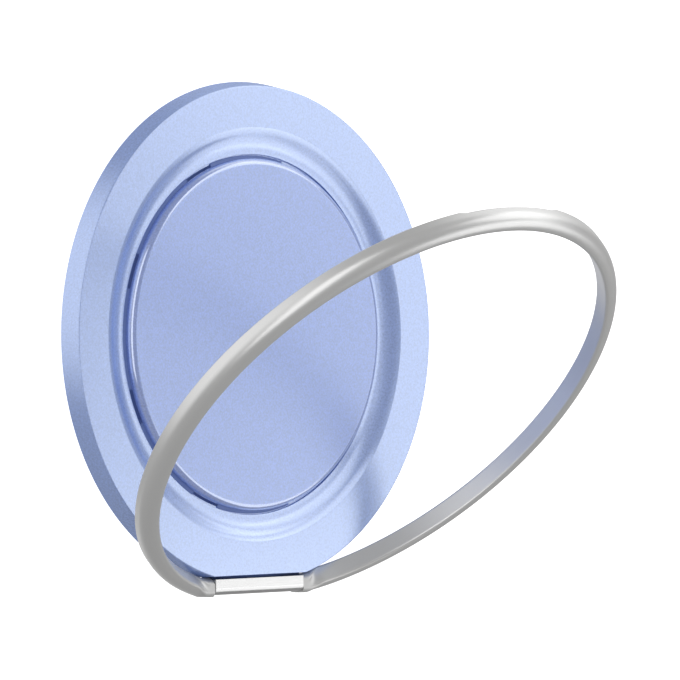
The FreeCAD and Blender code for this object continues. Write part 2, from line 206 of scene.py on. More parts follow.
def make_piece(name, points, poles=()):
    """Mesh object of a grid of points, rows by columns, with faces outwards.

    The grid's rows close on themselves, or end in two poles. The faces are turned round if the volume under
    them, the sum of a . (b x c) / 6 over the triangles, comes out negative.
    """
    rows, columns = points.shape[:2]
    vertices = np.concatenate([points.reshape(-1, 3), np.reshape(poles, (-1, 3))])
    sides = quads(rows, columns, not len(poles))
    ends = np.zeros((0, 3), int)
    if len(poles):
        first = fan(0, columns, rows * columns, False)
        last = fan((rows - 1) * columns, columns, rows * columns + 1, True)
        ends = np.concatenate([first, last])
    triangles = np.concatenate([sides[:, [0, 1, 2]], sides[:, [0, 2, 3]], ends])
    a, b, c = (vertices[triangles[:, corner]] for corner in range(3))
    if np.einsum("ij,ij->", a, np.cross(b, c)) < 0:
        sides = sides[:, ::-1]
        ends = ends[:, ::-1]
    mesh = bpy.data.meshes.new(name)
    mesh.from_pydata(vertices.tolist(), [], sides.tolist() + ends.tolist())
    mesh.polygons.foreach_set("use_smooth", np.ones(len(mesh.polygons), bool))
    mesh.set_sharp_from_angle(angle=SHARP_ANGLE)
    mesh.update()
    piece = bpy.data.objects.new(name, mesh)
    bpy.context.scene.collection.objects.link(piece)
    return piece


def settle(piece, body, node, material):
    """Hang a new piece on its body in place of the CAD node, with its finish."""
    piece.data.materials.append(material)
    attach(piece, body)
    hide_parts(node)


def turned(profile, angles):
    """Rows of a turned piece: each profile point (r, z) at x = r cos a, y = r sin a."""
    radius = profile[:, 0, None]
    height = np.broadcast_to(profile[:, 1, None], (len(profile), len(angles)))
    return np.stack([radius * np.cos(angles), radius * np.sin(angles), height], -1)


def turned_disc(name, corners, rounds):
    """Turned piece closed at the axis: the outline right of the axis, with a pole at each end."""
    profile = soft_outline(np.array(corners), np.array(rounds))
    profile = profile[profile[:, 0] > HOLD]
    angles = np.linspace(0.0, 2 * np.pi, COLUMNS, endpoint=False)
    poles = [(0.0, 0.0, profile[0, 1]), (0.0, 0.0, profile[-1, 1])]
    return make_piece(name, turned(profile, angles), poles)


def flatted_circle(radius, offset, corner):
    """Plan of circles with one flat, a column of radii and flat offsets giving a row of points each.

    The arc runs round to the flat's side, a corner round of centre (+-c, corner - offset) follows with
    c = sqrt((radius - corner)^2 - (offset - corner)^2), then the flat's line and the other corner round.
    """
    drop = offset - corner
    across = np.sqrt((radius - corner) ** 2 - drop ** 2)
    tip = np.arctan2(-drop, across)
    arc_share = np.linspace(0.0, 1.0, COLUMNS, endpoint=False)
    corner_share = np.linspace(0.0, 1.0, CORNER_COLUMNS, endpoint=False)
    flat_share = np.linspace(-1.0, 1.0, FLAT_COLUMNS, endpoint=False)
    arc = tip + arc_share * (np.pi - 2 * tip)
    left = np.pi - tip + corner_share * (0.5 * np.pi + tip)
    right = -0.5 * np.pi + corner_share * (0.5 * np.pi + tip)
    x = np.concatenate([
        radius * np.cos(arc),
        -across + corner * np.cos(left),
        across * flat_share,
        across + corner * np.cos(right),
    ], 1)
    y = np.concatenate([
        radius * np.sin(arc),
        -drop + corner * np.sin(left),
        np.broadcast_to(-offset, (len(offset), FLAT_COLUMNS)),
        -drop + corner * np.sin(right),
    ], 1)
    return x, y


def bezel_points(sizes):
    """Rows follow the bezel's section and columns its plan.

    A rim row is a circle of its own radius with the flat cut as far in as the row lies inside the wall. Every
    other row is a plain circle, at the same polar angles.
    """
    face, back = BEZEL_HIGH.z, BEZEL_LOW.z
    floor = face - sizes.dish_depth
    crown = sizes.dish_outer - sizes.dish_crown
    crown_height = face - sizes.dish_crown * math.tan(LIP_TURN)
    slope = math.atan2(crown_height - floor, crown - sizes.dish_foot)
    slope_length = math.hypot(crown_height - floor, crown - sizes.dish_foot)
    hollow_reach = sizes.dish_foot - sizes.dish_inner - 2 * HOLD
    crown_reach = slope_length - hollow_reach - 4 * HOLD
    wall_back = BEZEL_HIGH.x
    corners = np.array([
        (sizes.bore, floor),
        (sizes.dish_foot, floor),
        (crown, crown_height),
        (sizes.dish_outer, face),
        (sizes.face_radius, face),
        (wall_back, back),
        (sizes.cavity, back),
        (sizes.cavity, sizes.bezel_under),
        (sizes.lip_radius, sizes.bezel_under),
        (sizes.lip_radius, sizes.lip_top),
        (sizes.bore, sizes.lip_top),
    ])
    rounds = np.full(len(corners), sizes.edge_break)
    rounds[1] = hollow_reach / math.tan(0.5 * slope)
    rounds[2] = crown_reach / math.tan(0.5 * (slope - LIP_TURN))
    rounds[3] = sizes.dish_lip
    rounds[4] = sizes.rim_round
    profile = soft_outline(corners, rounds)
    radius, height = profile[:, 0, None], profile[:, 1, None]
    wall = sizes.face_radius + (wall_back - sizes.face_radius) * (face - height) / (face - back)
    flat = -BEZEL_LOW.y
    plan_x, plan_y = flatted_circle(np.array([[sizes.face_radius]]), np.array([[flat]]), sizes.corner_round)
    polar = np.arctan2(plan_y, plan_x)
    x = radius * np.cos(polar)
    y = radius * np.sin(polar)
    rim = radius[:, 0] > 0.5 * (sizes.cavity + sizes.face_radius)
    x[rim], y[rim] = flatted_circle(radius[rim], flat - wall[rim] + radius[rim], sizes.corner_round)
    return np.stack([x, y, np.broadcast_to(height, x.shape)], -1)


def bar_points(sizes):
    """The bar's section carried along the hinge, drawn in to the pin's bore at both ends.

    Columns of the bore lie at the same angles about the pin as the section's points.
    """
    foot, top = BAR_LOW.y, BAR_HIGH.z
    back = BAR_LOW.z
    land = BEZEL_LOW.y
    ledge = land - sizes.bar_gap
    ledge_z = top - sizes.bar_gap_depth
    corners = np.array([
        (ledge, top),
        (foot, top),
        (foot, back),
        (land, back),
        (land, ledge_z),
        (ledge, ledge_z),
    ])
    rounds = np.full(len(corners), sizes.edge_break)
    rounds[1] = sizes.bar_front_round
    rounds[2] = sizes.bar_back_round
    section = soft_outline(corners, rounds) - (HINGE_Y, HINGE_Z)
    distance = np.linalg.norm(section, axis=1, keepdims=True)
    bore = section / distance * sizes.pin_bore
    drawn_in = section * (1 - sizes.edge_break / distance)
    half = BAR_HIGH.x
    hold = half - sizes.edge_break - HOLD
    places = [-half, -half, -hold, hold, half, half]
    rings = np.stack([bore, drawn_in, section, section, drawn_in, bore])
    x = np.broadcast_to(np.array(places)[:, None, None], (*rings.shape[:2], 1))
    return np.concatenate([x, rings + (HINGE_Y, HINGE_Z)], -1)


# Rings along the loop's arc and along each blend, and points along each side of the section
ARC_STATIONS = 300
BLEND_STATIONS = 12
SIDE_STEPS = 6
# Half width and ramp of the nail notch, about the loop's centre
NOTCH_HALF = math.radians(14.0)
NOTCH_RAMP = math.radians(1.2)
# About the pin: the knuckle's flat, its sole, the share of the sole that rounds off, and the stops behind
KNUCKLE_LEAN = math.radians(44.4)
SOLE_TURN = KNUCKLE_LEAN + 0.5 * math.pi
SOLE_SHARE = 0.2
KNUCKLE_STOPS = (math.radians(230.0), math.radians(245.0), math.radians(300.0))


def loop_sections(sizes, angles):
    """Section of the loop at each angle: out from the inner face and towards the front.

    The cut along the outer back edge grows from its plain size to the nail notch over a short ramp.
    """
    ramp = np.clip((NOTCH_HALF - np.abs(angles - 0.5 * np.pi)) / NOTCH_RAMP, 0.0, 1.0)
    cut = sizes.loop_edge_cut + (sizes.notch_cut - sizes.loop_edge_cut) * ramp
    zero = np.zeros_like(cut)
    out = zero + sizes.loop_thickness
    front = zero + sizes.loop_front
    back = zero - sizes.loop_back
    corners = np.stack([
        np.stack([zero, front], -1),
        np.stack([out, front], -1),
        np.stack([out, back + cut], -1),
        np.stack([out - cut, back], -1),
        np.stack([zero, back], -1),
    ], -2)
    rounds = np.array([
        sizes.loop_inner_round,
        sizes.loop_outer_round,
        sizes.edge_break,
        sizes.edge_break,
        sizes.loop_inner_round,
    ])
    return soft_outline(corners, rounds, SIDE_STEPS)


def knuckle_angles(sizes):
    """Angle about the pin, from the inner side over the front, for each point of the loop's section.

    The flat answers the loop's inner face, the arc after it the inner round, the sole the front and the outer
    round, and three more arcs the outer side, the back and the heel. Points between are spaced evenly.
    """
    half_flat = math.acos(sizes.knuckle_flat / sizes.knuckle_radius)
    half_sole = math.acos(sizes.knuckle_sole / sizes.knuckle_radius)
    sole_step = math.atan((1 - 2 * SOLE_SHARE) * math.tan(half_sole))
    each = CORNER_STEPS + 2 + SIDE_STEPS
    first, last = each * np.arange(5) + 1, each * np.arange(5) + CORNER_STEPS
    marks = [
        (last[4] - 5 * each, KNUCKLE_LEAN - half_flat),
        (first[0], KNUCKLE_LEAN + half_flat),
        (last[0], SOLE_TURN - half_sole),
        (first[1], SOLE_TURN - sole_step),
        (last[1], SOLE_TURN + half_sole),
        (first[2], KNUCKLE_STOPS[0]),
        (last[3], KNUCKLE_STOPS[1]),
        (first[4], KNUCKLE_STOPS[2]),
        (last[4], KNUCKLE_LEAN - half_flat + 2 * math.pi),
        (first[0] + 5 * each, KNUCKLE_LEAN + half_flat + 2 * math.pi),
    ]
    return np.interp(np.arange(5 * each), *zip(*marks))


def round_pin(angle, reach, x):
    """Ring about the pin at one place along the hinge."""
    y = HINGE_Y + reach * np.cos(angle)
    z = HINGE_Z + reach * np.sin(angle)
    return np.stack([np.full_like(angle, x), y, z], -1)


def knuckle_ring(sizes, angle, x, inset):
    """Section of a knuckle: a circle about the pin less two flats.

    A flat at distance d lies d / cos(a) from the pin, with a the angle from the flat's middle.
    """
    radius = sizes.knuckle_radius
    flat = sizes.knuckle_flat / np.maximum(np.cos(angle - KNUCKLE_LEAN), sizes.knuckle_flat / radius)
    sole = sizes.knuckle_sole / np.maximum(np.cos(angle - SOLE_TURN), sizes.knuckle_sole / radius)
    return round_pin(angle, np.minimum(flat, sole) - inset, x)


def loop_points(sizes):
    """Rings of the folded loop from one pin hole to the other, and the poles at the bottoms of the holes.

    The arc carries the section round the loop's centre. Each end runs into its straight knuckle by cubic
    curves, p = h00 k + h10 k' + h01 a + h11 a', that leave the knuckle along the hinge and meet the arc along
    its tangent. The left end mirrors the right one.
    """
    blend_start = sizes.knuckle_start + sizes.knuckle_length
    end = math.acos((blend_start + sizes.knuckle_blend) / sizes.loop_radius)
    angles = np.linspace(-end, np.pi + end, ARC_STATIONS)
    section = loop_sections(sizes, angles)
    radius = sizes.loop_radius + section[..., 0]
    arc = np.stack([
        radius * np.cos(angles[:, None]),
        sizes.loop_shift + radius * np.sin(angles[:, None]),
        HINGE_Z + section[..., 1],
    ], -1)
    angle = knuckle_angles(sizes)
    start = knuckle_ring(sizes, angle, blend_start, 0.0)
    share = np.linspace(0.0, 1.0, BLEND_STATIONS, endpoint=False)[:, None, None]
    along_hinge = np.array([sizes.knuckle_blend, 0.0, 0.0])
    along_arc = np.array([math.sin(end), math.cos(end), 0.0]) * sizes.knuckle_blend
    blend = (
        (2 * share ** 3 - 3 * share ** 2 + 1) * start
        + (share ** 3 - 2 * share ** 2 + share) * along_hinge
        + (3 * share ** 2 - 2 * share ** 3) * arc[0]
        + (share ** 3 - share ** 2) * along_arc
    )
    face = sizes.knuckle_start
    collar = face - sizes.knuckle_collar
    right = np.concatenate([
        round_pin(angle, sizes.pin_radius, face + sizes.pin_grip)[None],
        round_pin(angle, sizes.pin_radius, face)[None],
        round_pin(angle, sizes.collar_radius, face)[None],
        round_pin(angle, sizes.collar_radius, collar)[None],
        knuckle_ring(sizes, angle, collar, sizes.collar_break)[None],
        knuckle_ring(sizes, angle, collar + sizes.collar_break, 0.0)[None],
        knuckle_ring(sizes, angle, collar + sizes.collar_break + HOLD, 0.0)[None],
        blend,
    ])
    left = right[::-1] * (-1.0, 1.0, 1.0)
    hole = face + sizes.pin_grip
    poles = np.array([(hole, HINGE_Y, HINGE_Z), (-hole, HINGE_Y, HINGE_Z)])
    return np.concatenate([right, arc, left]), poles


def opened(points):
    """Points of the folded loop turned about the pin to half open."""
    y = points[..., 1] - HINGE_Y
    z = points[..., 2] - HINGE_Z
    c, s = math.cos(LOOP_OPEN), math.sin(LOOP_OPEN)
    return np.stack([points[..., 0], HINGE_Y + c * y - s * z, HINGE_Z + s * y + c * z], -1)


def socket(group, label, way, kind, default=None):
    """Named socket of a node group."""
    made = group.interface.new_socket(name=label, in_out=way, socket_type=kind)
    if default is not None:
        made.default_value = default


def grain_group():
    """Shared effect: fine blasted grain over soft patches, both from points of the piece.

    Height is the grain for a bump, Speckle the same grain as a mask, and Patches a slow variation.
    """
    if "Blasted grain" in bpy.data.node_groups:
        return bpy.data.node_groups["Blasted grain"]
    group = bpy.data.node_groups.new("Blasted grain", "ShaderNodeTree")
    socket(group, "Vector", "INPUT", "NodeSocketVector")
    socket(group, "Grain scale", "INPUT", "NodeSocketFloat", 6000.0)
    socket(group, "Patch scale", "INPUT", "NodeSocketFloat", 300.0)
    for label in ("Height", "Speckle", "Patches"):
        socket(group, label, "OUTPUT", "NodeSocketFloat")
    nodes, links = group.nodes, group.links
    given = nodes.new("NodeGroupInput")
    out = nodes.new("NodeGroupOutput")
    fine = nodes.new("ShaderNodeTexNoise")
    fine.inputs["Detail"].default_value = 2.0
    fine.inputs["Roughness"].default_value = 0.6
    patch = nodes.new("ShaderNodeTexNoise")
    patch.inputs["Detail"].default_value = 3.0
    spread = nodes.new("ShaderNodeMapRange")
    spread.inputs["From Min"].default_value = 0.3
    spread.inputs["From Max"].default_value = 0.7
    links.new(given.outputs["Vector"], fine.inputs["Vector"])
    links.new(given.outputs["Vector"], patch.inputs["Vector"])
    links.new(given.outputs["Grain scale"], fine.inputs["Scale"])
    links.new(given.outputs["Patch scale"], patch.inputs["Scale"])
    links.new(fine.outputs["Fac"], spread.inputs["Value"])
    links.new(fine.outputs["Fac"], out.inputs["Height"])
    links.new(spread.outputs["Result"], out.inputs["Speckle"])
    links.new(patch.outputs["Fac"], out.inputs["Patches"])
    return group


Grain = namedtuple("Grain", "fine patch depth contrast spread")
# Fine grain and patches per metre, depth of the bump, and how far colour and roughness vary
BLASTED = Grain(4200.0, 260.0, 0.006 * MM, 0.2, 0.01)
SATIN = Grain(9000.0, 400.0, 0.001 * MM, 0.015, 0.03)
GROUND = Grain(9000.0, 500.0, 0.001 * MM, 0.03, 0.04)
MOULDED = Grain(4000.0, 200.0, 0.006 * MM, 0.08, 0.05)
BUMP_STRENGTH = 0.3
EVEN = (1.0, 1.0, 1.0)
ALONG_HINGE = (0.05, 1.0, 1.0)


def grained_finish(name, base, metallic, roughness, grain, stretch=EVEN):
    """Material whose colour and roughness vary with a grain, under a bump of the grain's depth."""
    material = bpy.data.materials.new(name)
    material.use_nodes = True
    nodes, links = material.node_tree.nodes, material.node_tree.links
    shader = nodes["Principled BSDF"]
    shader.inputs["Metallic"].default_value = metallic
    place = nodes.new("ShaderNodeTexCoord")
    turn = nodes.new("ShaderNodeMapping")
    turn.inputs["Scale"].default_value = stretch
    effect = nodes.new("ShaderNodeGroup")
    effect.node_tree = grain_group()
    effect.inputs["Grain scale"].default_value = grain.fine
    effect.inputs["Patch scale"].default_value = grain.patch
    links.new(place.outputs["Object"], turn.inputs["Vector"])
    links.new(turn.outputs["Vector"], effect.inputs["Vector"])
    tint = nodes.new("ShaderNodeMix")
    tint.data_type = "RGBA"
    shares = (1 - grain.contrast, 1 + grain.contrast)
    low, high = ((*(min(1.0, channel * share) for channel in base), 1.0) for share in shares)
    tint.inputs["A"].default_value = low
    tint.inputs["B"].default_value = high
    links.new(effect.outputs["Speckle"], tint.inputs["Factor"])
    links.new(tint.outputs["Result"], shader.inputs["Base Color"])
    rough = nodes.new("ShaderNodeMapRange")
    rough.inputs["To Min"].default_value = roughness - grain.spread
    rough.inputs["To Max"].default_value = roughness + grain.spread
    links.new(effect.outputs["Patches"], rough.inputs["Value"])
    links.new(rough.outputs["Result"], shader.inputs["Roughness"])
    bump = nodes.new("ShaderNodeBump")
    bump.inputs["Strength"].default_value = BUMP_STRENGTH
    bump.inputs["Distance"].default_value = grain.depth
    links.new(effect.outputs["Height"], bump.inputs["Height"])
    links.new(bump.outputs["Normal"], shader.inputs["Normal"])
    return material


def blend_in(material, label, mask, value):
    """Blend what feeds one of the shader's inputs into another value where a mask rises to 1."""
    nodes, links = material.node_tree.nodes, material.node_tree.links
    target = nodes["Principled BSDF"].inputs[label]
    blend = nodes.new("ShaderNodeMix")
    if target.type == "RGBA":
        blend.data_type = "RGBA"
    blend.inputs["B"].default_value = value
    links.new(mask, blend.inputs["Factor"])
    links.new(target.links[0].from_socket, blend.inputs["A"])
    links.new(blend.outputs["Result"], target)


# Gloss of the dyed oxide layer, and of the clear layer on the cap's cut edge
OXIDE_IOR = 3.0
OXIDE_TINT = (0.75, 0.84, 1.0)
BEZEL_ROUGHNESS, BEZEL_GLOSS = 0.23, 0.9
CAP_ROUGHNESS, CAP_GLOSS = 0.3, 0.64
EDGE_ROUGHNESS = 0.14
EDGE_FADE = 0.15 * MM
CLEAR_IOR = 2.2
CLEAR_ROUGHNESS = 0.1


def blue_finish(name, base, roughness, gloss):
    """Blasted and dyed aluminium: deep blue under a bright gloss of a paler blue."""
    material = grained_finish(name, base, 0.0, roughness, BLASTED)
    shader = material.node_tree.nodes["Principled BSDF"]
    shader.inputs["IOR"].default_value = OXIDE_IOR
    shader.inputs["Specular IOR Level"].default_value = gloss
    shader.inputs["Specular Tint"].default_value = (*OXIDE_TINT, 1.0)
    return material


def turned_edge_group():
    """Effect of an edge cut on a lathe: a mask by the distance of a point from the turning axis.

    It rises from 0 to 1 between two radii.
    """
    group = bpy.data.node_groups.new("Turned edge", "ShaderNodeTree")
    socket(group, "Vector", "INPUT", "NodeSocketVector")
    socket(group, "Start", "INPUT", "NodeSocketFloat")
    socket(group, "End", "INPUT", "NodeSocketFloat")
    socket(group, "Mask", "OUTPUT", "NodeSocketFloat")
    nodes, links = group.nodes, group.links
    given = nodes.new("NodeGroupInput")
    out = nodes.new("NodeGroupOutput")
    level = nodes.new("ShaderNodeVectorMath")
    level.operation = "MULTIPLY"
    level.inputs[1].default_value = (1.0, 1.0, 0.0)
    distance = nodes.new("ShaderNodeVectorMath")
    distance.operation = "LENGTH"
    mask = nodes.new("ShaderNodeMapRange")
    links.new(given.outputs["Vector"], level.inputs[0])
    links.new(level.outputs["Vector"], distance.inputs[0])
    links.new(distance.outputs["Value"], mask.inputs["Value"])
    links.new(given.outputs["Start"], mask.inputs["From Min"])
    links.new(given.outputs["End"], mask.inputs["From Max"])
    links.new(mask.outputs["Result"], out.inputs["Mask"])
    return group


def cap_finish(base, start):
    """The blue finish with a smoother, cut edge beyond a radius, under a clear gloss."""
    material = blue_finish("cap_anodised", base, CAP_ROUGHNESS, CAP_GLOSS)
    nodes, links = material.node_tree.nodes, material.node_tree.links
    shader = nodes["Principled BSDF"]
    place = nodes.new("ShaderNodeTexCoord")
    edge = nodes.new("ShaderNodeGroup")
    edge.node_tree = turned_edge_group()
    edge.inputs["Start"].default_value = start
    edge.inputs["End"].default_value = start + EDGE_FADE
    links.new(place.outputs["Object"], edge.inputs["Vector"])
    blend_in(material, "Roughness", edge.outputs["Mask"], EDGE_ROUGHNESS)
    links.new(edge.outputs["Mask"], shader.inputs["Coat Weight"])
    shader.inputs["Coat Roughness"].default_value = CLEAR_ROUGHNESS
    shader.inputs["Coat IOR"].default_value = CLEAR_IOR
    return material


# Satin loop, and its knuckles beside it, rougher and with their colour darkened as painted shade
SILVER_METALLIC = 0.7
SILVER_ROUGHNESS = 0.33
KNUCKLE_PAINTED_SHADE = 0.82
KNUCKLE_ROUGHNESS = 0.5


def silver_finish(base):
    """Satin silver of the loop, a plated metal whose blasting scatters part of the light.

    The knuckles are rougher, and their colour is darkened as painted shade, by a mask that falls with the
    distance from the middle of the hinge.
    """
    material = grained_finish("satin_silver", base, SILVER_METALLIC, SILVER_ROUGHNESS, SATIN)
    nodes, links = material.node_tree.nodes, material.node_tree.links
    sizes = bpy.context.scene.grip_sizes
    knuckle_end = sizes.knuckle_start + sizes.knuckle_length
    place = nodes.new("ShaderNodeTexCoord")
    away = nodes.new("ShaderNodeVectorMath")
    away.operation = "DISTANCE"
    away.inputs[1].default_value = (0.0, HINGE_Y, HINGE_Z)
    mask = nodes.new("ShaderNodeMapRange")
    mask.inputs["From Min"].default_value = knuckle_end
    mask.inputs["From Max"].default_value = knuckle_end + sizes.knuckle_blend
    mask.inputs["To Min"].default_value = 1.0
    mask.inputs["To Max"].default_value = 0.0
    links.new(place.outputs["Object"], away.inputs[0])
    links.new(away.outputs["Value"], mask.inputs["Value"])
    # Painted shade: the knuckles' colour darkened to stand in for the dimmer light they reflect
    shade = (*(KNUCKLE_PAINTED_SHADE * channel for channel in base), 1.0)
    blend_in(material, "Base Color", mask.outputs["Result"], shade)
    blend_in(material, "Roughness", mask.outputs["Result"], KNUCKLE_ROUGHNESS)
    return material


def steel_finish(name, base, roughness):
    """Bright steel with a fine grain along the hinge."""
    return grained_finish(name, base, 1.0, roughness, GROUND, ALONG_HINGE)


# Bright bar, and the painted shade that darkens the ledge behind its face
BAR_ROUGHNESS = 0.22
LEDGE_PAINTED_SHADE = (0.015, 0.025, 0.07, 1.0)
LEDGE_FADE = 0.02 * MM


def bar_finish(base):
    """Bright steel, with painted shade that darkens the ledge behind the bar's face.

    The mask turns from 0 to 1 where Y passes the foot of the face.
    """
    material = steel_finish("bar_bright", base, BAR_ROUGHNESS)
    nodes, links = material.node_tree.nodes, material.node_tree.links
    place = nodes.new("ShaderNodeTexCoord")
    split = nodes.new("ShaderNodeSeparateXYZ")
    mask = nodes.new("ShaderNodeMapRange")
    ledge = BEZEL_LOW.y - bpy.context.scene.grip_sizes.bar_gap
    mask.inputs["From Min"].default_value = ledge - LEDGE_FADE
    mask.inputs["From Max"].default_value = ledge
    links.new(place.outputs["Object"], split.inputs["Vector"])
    links.new(split.outputs["Y"], mask.inputs["Value"])
    # Painted shade: the recess behind the bar's face darkened to a deep navy
    blend_in(material, "Base Color", mask.outputs["Result"], LEDGE_PAINTED_SHADE)
    return material


def moulded_finish(name, base, roughness):
    """Moulded plastic or rubber with a fine matte texture."""
    return grained_finish(name, base, 0.0, roughness, MOULDED)


PAD_ROUGHNESS = 0.7
BASE_ROUGHNESS = 0.5
# Strength of the painted glow on the base
BASE_PAINTED_GLOW = 0.2
# Finish, colour and roughness of the pieces inside
INNER_STEEL = {
    "magnet_segments": ("magnet_plated", (0.66, 0.65, 0.62), 0.25),
    "magnet_shield": ("shield_rolled", (0.6, 0.6, 0.6), 0.35),
    "hinge_pin": ("pin_ground", (0.62, 0.62, 0.62), 0.2),
}
INNER_MOULDED = {
    "friction_washer": ("washer_smooth", (0.82, 0.82, 0.8), 0.4),
    "cap_tape": ("tape_dark", (0.03, 0.03, 0.035), 0.6),
    "hinge_washers": ("hinge_washer_grey", (0.62, 0.62, 0.63), 0.45),
}


def base_finish(base):
    """Moulded base, with a faint painted glow of its own colour that lightens it where it lies in shade."""
    material = moulded_finish("base_moulded", base, BASE_ROUGHNESS)
    shader = material.node_tree.nodes["Principled BSDF"]
    # Painted light: the base glows in its own colour, though it is no lamp, lightening it in the shaded gap
    shader.inputs["Emission Color"].default_value = (*base, 1.0)
    shader.inputs["Emission Strength"].default_value = BASE_PAINTED_GLOW
    return material


class GRIP_OT_bezel(bpy.types.Operator):
    """Build the dished blue bezel with its flat at the hinge"""

    bl_idname = "phone_grip.bezel"
    bl_label = "Bezel"

    def execute(self, context):
        scene = context.scene
        piece = make_piece("bezel_shell", bezel_points(scene.grip_sizes))
        base = scene.grip_finishes.bezel_blue
        finish = blue_finish("bezel_anodised", base, BEZEL_ROUGHNESS, BEZEL_GLOSS)
        settle(piece, "frame", "bezel", finish)
        return {"FINISHED"}


class GRIP_OT_cap(bpy.types.Operator):
    """Turn the blue centre cap"""

    bl_idname = "phone_grip.cap"
    bl_label = "Centre cap"

    def execute(self, context):
        sizes = context.scene.grip_sizes
        radius, under, top = CAP_HIGH.x, CAP_LOW.z, CAP_HIGH.z
        corners = [(-radius, under), (-radius, top), (radius, top), (radius, under)]
        rounds = [sizes.edge_break, sizes.cap_round, sizes.cap_round, sizes.edge_break]
        piece = turned_disc("cap_disc", corners, rounds)
        finish = cap_finish(context.scene.grip_finishes.cap_blue, radius - sizes.cap_round)
        settle(piece, "base", "centre_cap", finish)
        return {"FINISHED"}


class GRIP_OT_bar(bpy.types.Operator):
    """Build the bright bar that the pin runs through"""

    bl_idname = "phone_grip.bar"
    bl_label = "Hinge bar"

    def execute(self, context):
        piece = make_piece("hinge_bar", bar_points(context.scene.grip_sizes))
        finish = bar_finish(context.scene.grip_finishes.bar_steel)
        settle(piece, "frame", "hinge_barrel", finish)
        return {"FINISHED"}


class GRIP_OT_loop(bpy.types.Operator):
    """Sweep the satin loop with its two knuckles"""

    bl_idname = "phone_grip.loop"
    bl_label = "Loop"

    def execute(self, context):
        points, poles = loop_points(context.scene.grip_sizes)
        piece = make_piece("grip_loop", opened(points), opened(poles))
        finish = silver_finish(context.scene.grip_finishes.loop_silver)
        settle(piece, "loop", "grip_ring", finish)
        return {"FINISHED"}


class GRIP_OT_pad(bpy.types.Operator):
    """Make the soft pad that lies on the phone"""

    bl_idname = "phone_grip.pad"
    bl_label = "Back pad"

    def execute(self, context):
        sizes = context.scene.grip_sizes
        radius, under, top = PAD_HIGH.x, PAD_LOW.z, PAD_HIGH.z
        corners = [(-radius, under), (-radius, top), (radius, top), (radius, under)]
        rounds = [3 * sizes.edge_break, sizes.edge_break, sizes.edge_break, 3 * sizes.edge_break]
        piece = turned_disc("pad_sheet", corners, rounds)
        finish = moulded_finish("pad_soft", context.scene.grip_finishes.pad_silicone, PAD_ROUGHNESS)
        settle(piece, "base", "back_pad", finish)
        return {"FINISHED"}


class GRIP_OT_inner(bpy.types.Operator):
    """Finish the pieces inside, which keep their CAD shape"""

    bl_idname = "phone_grip.inner"
    bl_label = "Inner pieces"

    def execute(self, context):
        finishes = {"base_plate": base_finish(context.scene.grip_finishes.base_plastic)}
        finishes.update((node, steel_finish(*finish)) for node, finish in INNER_STEEL.items())
        finishes.update((node, moulded_finish(*finish)) for node, finish in INNER_MOULDED.items())
        for node, finish in finishes.items():
            slots = frame["nodes"][node].data.materials
            slots.clear()
            slots.append(finish)
        return {"FINISHED"}


CAMERA_TARGET = Vector((13.5 * MM, -1.0 * MM, 3.2 * MM))
CAMERA_DISTANCE = 2.34265
CAMERA_AZIMUTH = math.radians(178.50)
CAMERA_ELEVATION = math.radians(44.535)
CAMERA_ROLL = math.radians(1.164)
CAMERA_LENS = 1098.3
CAMERA_SENSOR = 36.0
CAMERA_NEAR, CAMERA_FAR = 0.01, 100.0
FLOOR_HALF = 4.0
FLOOR_GLOW = 1.05
FLOOR_DROP = 0.05 * MM
ROOM_LIGHT = 0.38
# Azimuth, elevation, plateau and edge in degrees, and brightness of each wash on the room's walls
WASHES = {
    "left floor": (155.0, -22.0, 10.0, 52.0, 0.8),
    "back wall": (45.0, 2.0, 8.0, 38.0, 0.9),
    "right floor": (15.0, -60.0, 10.0, 50.0, 0.35),
}
# Azimuth and elevation in degrees, width, height and distance in metres, and brightness of each softbox
SOFTBOXES = {
    "right": (0.0, 41.0, 0.14, 0.08, 0.30, 1.15),
    "upper right": (33.0, 42.0, 0.16, 0.22, 0.30, 1.35),
    "lower right": (-33.0, 42.0, 0.16, 0.22, 0.30, 1.25),
    "key": (165.0, 42.0, 0.48, 0.20, 0.40, 1.4),
}


def outward(azimuth, elevation):
    """Unit vector at an azimuth from +X and an elevation above the floor."""
    flat = math.cos(elevation)
    return Vector((flat * math.cos(azimuth), flat * math.sin(azimuth), math.sin(elevation)))


def add_camera():
    """Long-lens camera that looks down on the lying disc, rolled so that the hinge is at the foot."""
    back = outward(CAMERA_AZIMUTH, CAMERA_ELEVATION)
    hint = Vector((0.0, 1.0, 0.0))
    up = (hint - back * hint.dot(back)).normalized()
    up = Matrix.Rotation(-CAMERA_ROLL, 3, back) @ up
    right = up.cross(back)
    lens = bpy.data.cameras.new("camera")
    lens.lens = CAMERA_LENS
    lens.sensor_width = CAMERA_SENSOR
    lens.clip_start = CAMERA_NEAR
    lens.clip_end = CAMERA_FAR
    camera = bpy.data.objects.new("camera", lens)
    turn = Matrix((right, up, back)).transposed().to_4x4()
    camera.matrix_world = Matrix.Translation(CAMERA_TARGET + back * CAMERA_DISTANCE) @ turn
    bpy.context.scene.collection.objects.link(camera)
    bpy.context.scene.camera = camera


